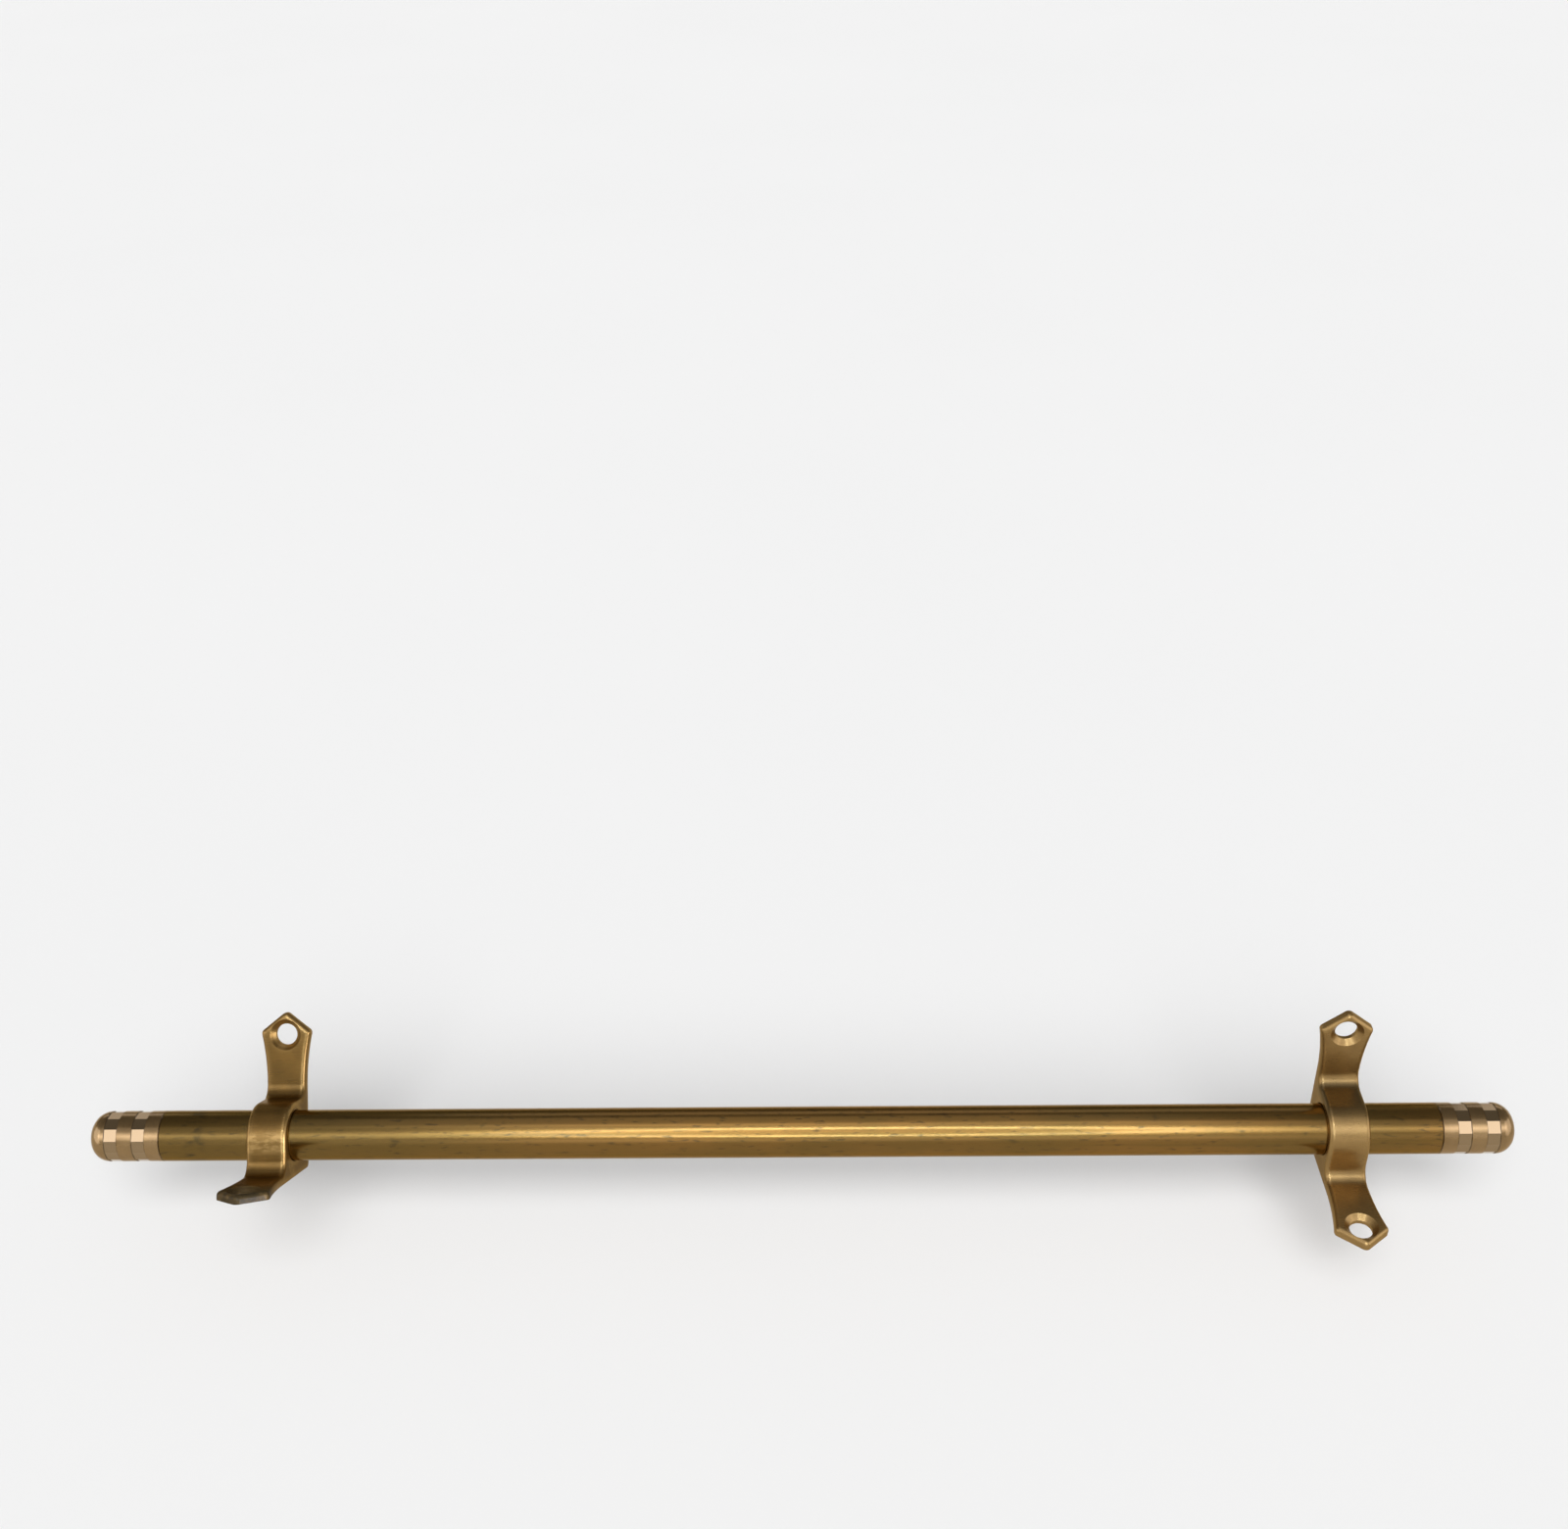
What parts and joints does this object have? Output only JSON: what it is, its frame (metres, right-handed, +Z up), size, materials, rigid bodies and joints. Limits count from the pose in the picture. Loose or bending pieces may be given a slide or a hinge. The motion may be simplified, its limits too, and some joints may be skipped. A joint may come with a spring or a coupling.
{
  "type": "stair carpet rod",
  "caption": "Round brass stair rod with faceted end caps, carried in cast eye brackets whose pointed feet screw to riser and tread to hold a stair carpet in the step's corner.",
  "frame": {"origin": "on the rod's axis at the middle of its length", "axes": "+X along the rod, +Y back at the riser and +Z up, as the right bracket is screwed to a step"},
  "size_m": [0.4536, 0.0705, 0.0553],
  "materials": {
    "tube_brass": "aged satin drawn brass",
    "cap_brass": "polished turned brass",
    "bracket_brass": "brushed cast brass"
  },
  "bodies": {
    "right_bracket": {"bracket_right": "bracket_brass"},
    "rod": {"tube": "tube_brass", "end_cap_left": "cap_brass", "end_cap_right": "cap_brass"},
    "left_bracket": {"bracket_left": "bracket_brass"}
  },
  "joints": [
    {"name": "rod_slide", "type": "slide", "parent": "right_bracket", "child": "rod", "axis": [1, 0, 0], "range_m": [-0.046, 0.322]},
    {"name": "left_bracket_swivel", "type": "hinge", "parent": "rod", "child": "left_bracket", "pos_m": [-0.1675, 0, 0], "axis": [1, 0, 0], "continuous": true}
  ]
}
